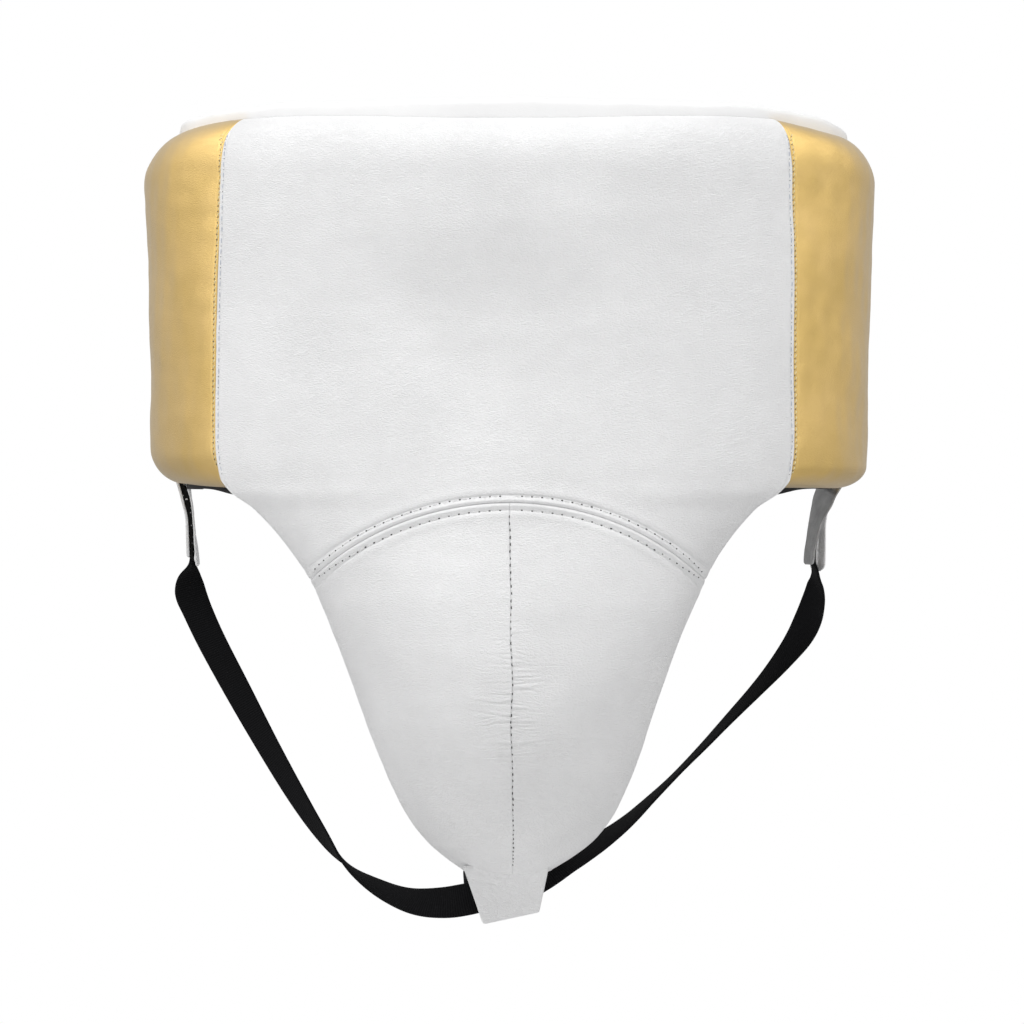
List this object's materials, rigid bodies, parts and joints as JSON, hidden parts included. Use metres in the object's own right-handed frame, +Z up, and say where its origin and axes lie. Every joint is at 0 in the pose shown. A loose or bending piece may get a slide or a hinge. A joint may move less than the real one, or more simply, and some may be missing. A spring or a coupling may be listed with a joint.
{
  "type": "groin protector",
  "caption": "Padded belt with a hard cup hung from its front, folding hip wings, elastic back bands and two leg straps.",
  "frame": {"origin": "middle of the waist opening, half-way up the belt", "axes": "+Z up along the wearer's trunk, +Y towards the wearer's back, so the cup faces -Y"},
  "size_m": [0.3466, 0.2281, 0.3784],
  "materials": {
    "white_leather": "smooth, faint sheen",
    "gold_leather": "metallic gold coating, satin",
    "white_rim": "smooth, matt",
    "black_lining": "matt nylon",
    "elastic": "fine ribbed webbing",
    "foam": "closed-cell foam, matt",
    "cushion": "soft foam, matt",
    "hard_shell": "moulded, matt",
    "hook": "stiff hooks",
    "loop": "soft loops"
  },
  "bodies": {
    "front": {"front_cover": "white_leather", "cup_cover_left": "white_leather", "cup_cover_right": "white_leather", "front_pad": "foam", "cup_foam": "foam", "cup_shell": "hard_shell", "cup_cushion": "cushion", "front_liner": "black_lining", "front_rim": "white_rim", "tail_tab": "white_leather", "tail_backing": "black_lining", "leg_strap_left": "elastic", "leg_strap_right": "elastic"},
    "left_wing": {"wing_cover_left": "gold_leather", "wing_pad_left": "foam", "wing_liner_left": "black_lining", "wing_rim_left": "white_rim", "band_anchor_left": "black_lining", "hip_tab_left": "white_leather"},
    "right_wing": {"wing_cover_right": "gold_leather", "wing_pad_right": "foam", "wing_liner_right": "black_lining", "wing_rim_right": "white_rim", "band_anchor_right": "black_lining", "hip_tab_right": "white_leather"},
    "left_band": {"band_left": "elastic", "hook_tab": "white_leather", "hook_patch": "hook"},
    "right_band": {"band_right": "elastic", "loop_patch": "loop"}
  },
  "joints": [
    {"name": "left_wing_fold", "type": "hinge", "parent": "front", "child": "left_wing", "pos_m": [-0.13329, -0.08592, 0], "axis": [0, 0, 1], "range_deg": [0, 45], "stiffness_Nm_per_rad": 0.5, "deforming": ["leg_strap_left"]},
    {"name": "right_wing_fold", "type": "hinge", "parent": "front", "child": "right_wing", "pos_m": [0.13329, -0.08592, 0], "axis": [0, 0, -1], "range_deg": [0, 45], "stiffness_Nm_per_rad": 0.5, "deforming": ["leg_strap_right"]},
    {"name": "left_band_bend", "type": "hinge", "parent": "left_wing", "child": "left_band", "pos_m": [-0.13469, 0.03506, 0], "axis": [0, 0, 1], "range_deg": [-30, 60], "stiffness_Nm_per_rad": 0.05},
    {"name": "right_band_bend", "type": "hinge", "parent": "right_wing", "child": "right_band", "pos_m": [0.13469, 0.03506, 0], "axis": [0, 0, -1], "range_deg": [-30, 60], "stiffness_Nm_per_rad": 0.05}
  ]
}
